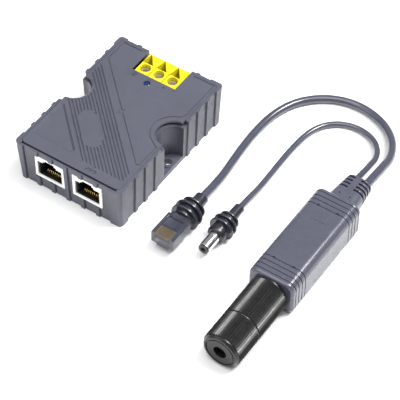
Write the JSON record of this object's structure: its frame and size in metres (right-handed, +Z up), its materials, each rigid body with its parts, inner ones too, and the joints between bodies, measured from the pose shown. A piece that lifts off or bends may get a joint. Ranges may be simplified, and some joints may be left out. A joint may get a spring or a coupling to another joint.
{
  "type": "poe injector",
  "caption": "Screw-down power-over-Ethernet injector box with network sockets and a wire terminal, and an in-line splitter with a cable gland, a network lead and a power lead.",
  "frame": {"origin": "centre of the injector box's underside", "axes": "+Z up from the underside; the two network sockets face -Y and the wire terminal faces +Y; the splitter lies beside the box at +X, with its cable gland towards -Y"},
  "size_m": [0.1464, 0.1623, 0.024],
  "materials": {
    "shell_plastic": "fine moulded texture",
    "splitter_plastic": "satin",
    "bezel_plastic": "satin",
    "socket_plastic": "satin",
    "contact_gold": "gold plated",
    "terminal_plastic": "satin",
    "screw_steel": "zinc plated",
    "board_laminate": "solder mask",
    "package_black": "moulded",
    "capacitor_can": "sleeved can",
    "led_body": "moulded",
    "light_guide": "tinted",
    "gland_plastic": "polished",
    "soft_rubber": "satin",
    "boot_rubber": "satin",
    "lead_jacket": "satin",
    "clear_plug": "smoky clear",
    "barrel_metal": "nickel plated",
    "tip_insulator": "moulded"
  },
  "bodies": {
    "injector": {"base_shell": "shell_plastic", "top_cover": "shell_plastic", "circuit_board": "board_laminate", "power_socket_housing": "socket_plastic", "power_socket_contacts": "contact_gold", "power_socket_bezel": "bezel_plastic", "network_socket_housing": "socket_plastic", "network_socket_contacts": "contact_gold", "network_socket_bezel": "bezel_plastic", "data_transformer": "package_black", "power_controller": "package_black", "power_inductor": "package_black", "input_capacitor": "capacitor_can", "surge_suppressors": "package_black", "status_led": "led_body", "light_guide": "light_guide", "cover_screws": "screw_steel", "terminal_block": "terminal_plastic", "terminal_pins": "contact_gold"},
    "terminal_screw_1": {"terminal_screw_1": "screw_steel"},
    "wire_clamp_1": {"wire_clamp_1": "screw_steel"},
    "terminal_screw_2": {"terminal_screw_2": "screw_steel"},
    "wire_clamp_2": {"wire_clamp_2": "screw_steel"},
    "terminal_screw_3": {"terminal_screw_3": "screw_steel"},
    "wire_clamp_3": {"wire_clamp_3": "screw_steel"},
    "gland_clamp": {"gland_claw": "gland_plastic", "gland_seal": "soft_rubber"},
    "gland_nut": {"gland_nut": "gland_plastic"},
    "plug_latch": {"network_plug_latch": "clear_plug"},
    "splitter": {"splitter_housing": "splitter_plastic", "splitter_end_cap": "splitter_plastic", "splitter_board": "board_laminate", "splitter_socket_housing": "socket_plastic", "splitter_socket_contacts": "contact_gold", "splitter_transformer": "package_black", "splitter_controller": "package_black", "splitter_capacitor": "capacitor_can", "gland_body": "gland_plastic", "gland_o_ring": "soft_rubber", "lead_boot": "boot_rubber", "data_lead": "lead_jacket", "power_lead": "lead_jacket", "network_plug_grommet": "soft_rubber", "network_plug_body": "clear_plug", "network_plug_contacts": "contact_gold", "power_plug_grommet": "soft_rubber", "power_plug_boot": "tip_insulator", "power_plug_barrel": "barrel_metal", "power_plug_tip": "tip_insulator", "power_plug_contact": "barrel_metal"}
  },
  "joints": [
    {"name": "terminal_screw_1_turn", "type": "hinge", "parent": "injector", "child": "terminal_screw_1", "pos_m": [-0.00762, 0.0304, 0.02], "axis": [0, 0, -1], "range_deg": [0, 1800]},
    {"name": "wire_clamp_1_rise", "type": "slide", "parent": "injector", "child": "wire_clamp_1", "axis": [0, 0, 1], "range_m": [0, 0.0025]},
    {"name": "terminal_screw_2_turn", "type": "hinge", "parent": "injector", "child": "terminal_screw_2", "pos_m": [0, 0.0304, 0.02], "axis": [0, 0, -1], "range_deg": [0, 1800]},
    {"name": "wire_clamp_2_rise", "type": "slide", "parent": "injector", "child": "wire_clamp_2", "axis": [0, 0, 1], "range_m": [0, 0.0025]},
    {"name": "terminal_screw_3_turn", "type": "hinge", "parent": "injector", "child": "terminal_screw_3", "pos_m": [0.00762, 0.0304, 0.02], "axis": [0, 0, -1], "range_deg": [0, 1800]},
    {"name": "wire_clamp_3_rise", "type": "slide", "parent": "injector", "child": "wire_clamp_3", "axis": [0, 0, 1], "range_m": [0, 0.0025]},
    {"name": "splitter_lift", "type": "slide", "parent": "injector", "child": "splitter", "axis": [0, 0, 1], "range_m": [0, 0.06]},
    {"name": "gland_clamp_draw", "type": "slide", "parent": "splitter", "child": "gland_clamp", "axis": [0, -1, 0], "range_m": [0, 0.009]},
    {"name": "gland_nut_turn", "type": "hinge", "parent": "gland_clamp", "child": "gland_nut", "pos_m": [0.106, -0.07, 0.0093], "axis": [0, -1, 0], "range_deg": [0, 2160]},
    {"name": "plug_latch_press", "type": "hinge", "parent": "splitter", "child": "plug_latch", "pos_m": [0.0513, -0.04, 0.0037], "axis": [1, 0, 0], "range_deg": [0, 8], "stiffness_Nm_per_rad": 0.02}
  ],
  "couplings": [
    {"joint": "terminal_screw_1_turn", "follows": "wire_clamp_1_rise", "rad_per_m": 12566},
    {"joint": "terminal_screw_2_turn", "follows": "wire_clamp_2_rise", "rad_per_m": 12566},
    {"joint": "terminal_screw_3_turn", "follows": "wire_clamp_3_rise", "rad_per_m": 12566},
    {"joint": "gland_clamp_draw", "follows": "gland_nut_turn", "m_per_rad": 0.00023873}
  ]
}
